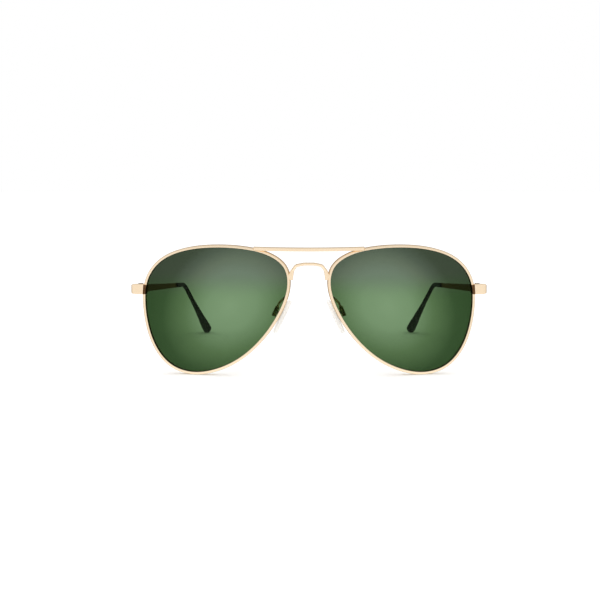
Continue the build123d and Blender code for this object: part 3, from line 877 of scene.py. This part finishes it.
def tip_sections():
    """The sleeve from the floor of its bore, out of its mouth and over its outside to its end."""
    corners = [SLEEVE_START_PLACE, BEND_PLACE, TIP_PLACE]
    places, tangents = rounded_path(corners, [BEND_RADIUS], TIP_STEP)
    steps = np.linalg.norm(np.diff(places, axis=0), axis=1)
    along = np.concatenate([[0], np.cumsum(steps)])
    outlines = [circle(tip_radius(a), TIP_POINTS) for a in along]
    outer = swept(places, tangents, outlines, OUTWARDS)
    mouth_circle = circle(SOCKET_RADIUS - SLEEVE_EASE, TIP_POINTS)
    mouth = swept(places[:1], tangents[:1], [mouth_circle], OUTWARDS)
    outer[0] = outer[0] + ARM_DIRECTION * SLEEVE_EASE
    corners = [SLEEVE_START_PLACE, BEND_PLACE, wire_end]
    places, tangents = rounded_path(corners, [BEND_RADIUS], WIRE_STEP)
    bore_circle = circle(WIRE_RADIUS + SLEEVE_FIT, TIP_POINTS)
    bore = swept(places, tangents, [bore_circle] * len(places), OUTWARDS)
    end = []
    for k in range(1, END_RINGS + 1):
        angle = pi / 2 * k / (END_RINGS + END_POINT)
        centre = TIP_PLACE + DROP_DIRECTION * TIP_RADIUS * sin(angle)
        side = unit(OUTWARDS - DROP_DIRECTION * (OUTWARDS @ DROP_DIRECTION))
        ring = circle(TIP_RADIUS * cos(angle), TIP_POINTS)
        end.append(section(centre, side, unit(np.cross(DROP_DIRECTION, side)), ring))
    return list(reversed(bore)) + mouth + outer + end


for side, sign in SIDES.items():
    body = f"temple_{side}"
    arm = loft(f"arm_metal_{side}", [mirrored(s, sign) for s in arm_sections()], sharp=40)
    finish_piece(arm, GOLD, body, "gold_frame", f"temple_arm_{side}")
    tip = loft(f"tip_acetate_{side}", [mirrored(s, sign) for s in tip_sections()], sharp=50)
    finish_piece(tip, ACETATE, body, "black_acetate", f"temple_tip_{side}")

# ---- Nose pads ---------------------------------------------------------------------------------

WIRE_SINK = 0.2  # how far the pad wire reaches into its box
PAD_SQUARENESS = 0.3  # 1 would make the pad's edge elliptical, 0 square
PAD_SWELL = 0.2  # how far each face of the soft pad bulges
PAD_TAPER = 0.07  # how much narrower the pad is at its top
PAD_FLARE = 0.035  # how much the pads part towards their lower ends, for each millimetre down
PAD_PLACE = at(*PAD_MIDDLE)
PAD_DOWN = np.array([sin(PAD_LEAN), 0, -cos(PAD_LEAN)])
PAD_SIDE = np.array([cos(PAD_LEAN), 0, sin(PAD_LEAN)])
PAD_BACK = np.array([0, cos(PAD_SPLAY), 0]) + PAD_SIDE * sin(PAD_SPLAY)
PAD_OUT = np.cross(PAD_DOWN, PAD_BACK)


def pad_point(down, back, out):
    """A point from its place on the pad's own axes."""
    return PAD_PLACE + PAD_DOWN * down + PAD_BACK * back + PAD_OUT * out


def pad_sections():
    """Rings over the moulded pad, from the middle of its nose side to the middle of its back."""
    rings = []
    for k in range(PAD_RINGS):
        angle = pi / 2 * (2 * (k + PAD_POLE) / (PAD_RINGS - 1 + 2 * PAD_POLE) - 1)
        reach = cos(angle) ** PAD_SQUARENESS
        half = PAD_THICK / 2 + PAD_SWELL
        out = half * abs(sin(angle)) ** PAD_SQUARENESS * (1 if angle > 0 else -1)
        ring = []
        for x, y in circle(1.0, PAD_POINTS):
            narrow = 1 - PAD_TAPER * (1 - x) / 2
            down = PAD_LENGTH / 2 * x * reach
            ring.append(pad_point(down, PAD_WIDTH / 2 * y * reach * narrow, out + down * PAD_FLARE))
        rings.append(np.array(ring))
    return rings


def pad_wire_sections():
    """The bent wire from behind the rim to the top of the pad box."""
    box_top = -BOX_ABOVE - BOX_LONG / 2
    box_middle = (BOX_INNER + BOX_OUTER) / 2
    corners = [
        at(*PAD_ARM_LEAVES),
        at(*PAD_ARM_CORNER),
        pad_point(box_top - PAD_ARM_RUN, 0, box_middle),
        pad_point(box_top + WIRE_SINK, 0, box_middle),
    ]
    places, tangents = rounded_path(corners, [PAD_ARM_BEND] * 2, PAD_WIRE_STEP)
    return swept(places, tangents, [circle(PAD_ARM_RADIUS, 24)] * len(places), UP)


for side, sign in SIDES.items():
    wire = loft(f"pad_wire_{side}", [mirrored(s, sign) for s in pad_wire_sections()], sharp=50)
    finish_piece(wire, SATIN_GOLD_WITH_PAINTED_SHADE, "front", "gold_hardware", f"pad_arm_{side}")
    pad = loft(f"pad_silicone_{side}", [mirrored(s, sign) for s in pad_sections()], sharp=60)
    finish_piece(pad, SILICONE, f"pad_{side}", "clear_silicone", f"nose_pad_{side}")

# ---- Hinges, locks, screws and boxes, which keep their CAD shapes -------------------------------

# The locks and hinges take the dark painted-shade gold, the pad boxes the satin gold with painted
# shade, and the screws and cores steel.
HARDWARE = {
    "rim_lock_upper": (DARK_PAINTED_SHADE_GOLD, 0.08),
    "rim_lock_lower": (DARK_PAINTED_SHADE_GOLD, 0.08),
    "rim_lock_screw": (STEEL, 0.06),
    "hinge_front": (DARK_PAINTED_SHADE_GOLD, 0.08),
    "hinge_temple": (DARK_PAINTED_SHADE_GOLD, 0.08),
    "hinge_screw": (STEEL, 0.06),
    "pad_box": (SATIN_GOLD_WITH_PAINTED_SHADE, 0.08),
    "pad_screw": (STEEL, 0.04),
    "pad_core": (STEEL, 0.04),
}

for part, (material, ease) in HARDWARE.items():
    for side in SIDES:
        node = nodes[f"{part}_{side}"]
        for slot in node.material_slots:
            slot.material = material
        softened = node.modifiers.new("eased_edges", "BEVEL")
        softened.width = ease * MM
        softened.segments = 2
        softened.limit_method = "ANGLE"
        softened.angle_limit = radians(50)
        softened.harden_normals = False

# ---- Floor, camera and light -------------------------------------------------------------------

FLOOR_REACH = 4.0  # metres from here on
FLOOR_LEVEL = -0.00002
CAMERA_PLACE = (0.0, -0.58123, 0.08084)
CAMERA_PITCH = radians(5.672)  # downwards
CAMERA_LENS = 78.79
CAMERA_SHIFT = -0.015
KEY_PLACE = (0, -0.05, 0.9)
KEY_SIZE = (0.9, 0.6)
KEY_POWER = 0.5

floor_mesh = bpy.data.meshes.new("floor")
corners = [(-1, -1), (1, -1), (1, 1), (-1, 1)]
floor_mesh.from_pydata(
    [(x * FLOOR_REACH, y * FLOOR_REACH, FLOOR_LEVEL) for x, y in corners], [], [(0, 1, 2, 3)]
)
floor = bpy.data.objects.new("floor", floor_mesh)
bpy.context.scene.collection.objects.link(floor)
paper = bpy.data.materials.new("white_paper")
sheet = Tree(paper)
fibres = sheet.noise(sheet.coordinates(), 350.0, 4.0)
sheet.output(
    sheet.shader(
        Base_Color=sheet.blend(fibres, (0.9, 0.9, 0.9, 1), (0.885, 0.885, 0.885, 1)),
        Roughness=0.9,
        Specular_IOR_Level=0.0,
    )
)
floor_mesh.materials.append(paper)
floor.visible_glossy = False

camera_data = bpy.data.cameras.new("camera")
camera_data.lens = CAMERA_LENS
camera_data.sensor_width = 36.0
camera_data.shift_x = CAMERA_SHIFT
camera_data.clip_start = 0.01
camera_data.clip_end = 20.0
camera = bpy.data.objects.new("camera", camera_data)
camera.location = CAMERA_PLACE
camera.rotation_euler = (pi / 2 - CAMERA_PITCH, 0, 0)
bpy.context.scene.collection.objects.link(camera)
bpy.context.scene.camera = camera

world = bpy.data.worlds.new("studio")
bpy.context.scene.world = world
studio = Tree(world)
ray = studio.add("ShaderNodeLightPath")
direction = studio.add("ShaderNodeSeparateXYZ")
studio.links.new(studio.add("ShaderNodeTexCoord").outputs["Generated"], direction.inputs[0])
front_to_back = studio.span(direction.outputs["Y"], -0.15, 0.92, 1.0, 0.4, smooth=True)
overhead = studio.span(direction.outputs["Z"], 0.15, 0.85, 1.0, 0.75, smooth=True)
below = studio.span(direction.outputs["Z"], -0.9, -0.3, 1.25, 1.0, smooth=True)
mirrored_light = studio.math("MULTIPLY", studio.math("MULTIPLY", front_to_back, overhead), below)
extra_light = studio.math("MULTIPLY", ray.outputs["Is Diffuse Ray"], SOFT_LIGHT - 1)
open_light = studio.math("ADD", extra_light, 1.0)
level = studio.add("ShaderNodeMix", data_type="FLOAT")
studio.put(level.inputs[0], ray.outputs["Is Glossy Ray"])
studio.put(level.inputs[2], open_light)
studio.put(level.inputs[3], mirrored_light)
sky = studio.add("ShaderNodeBackground")
sky.inputs["Color"].default_value = WHITE
studio.put(sky.inputs["Strength"], level.outputs[0])
end = studio.add("ShaderNodeOutputWorld")
studio.links.new(sky.outputs[0], end.inputs["Surface"])

key_data = bpy.data.lights.new("overhead_softbox", "AREA")
key_data.shape = "RECTANGLE"
key_data.size, key_data.size_y = KEY_SIZE
key_data.energy = KEY_POWER
key = bpy.data.objects.new("overhead_softbox", key_data)
key.location = KEY_PLACE
key.visible_glossy = False
bpy.context.scene.collection.objects.link(key)

bpy.context.scene.view_settings.view_transform = "Standard"
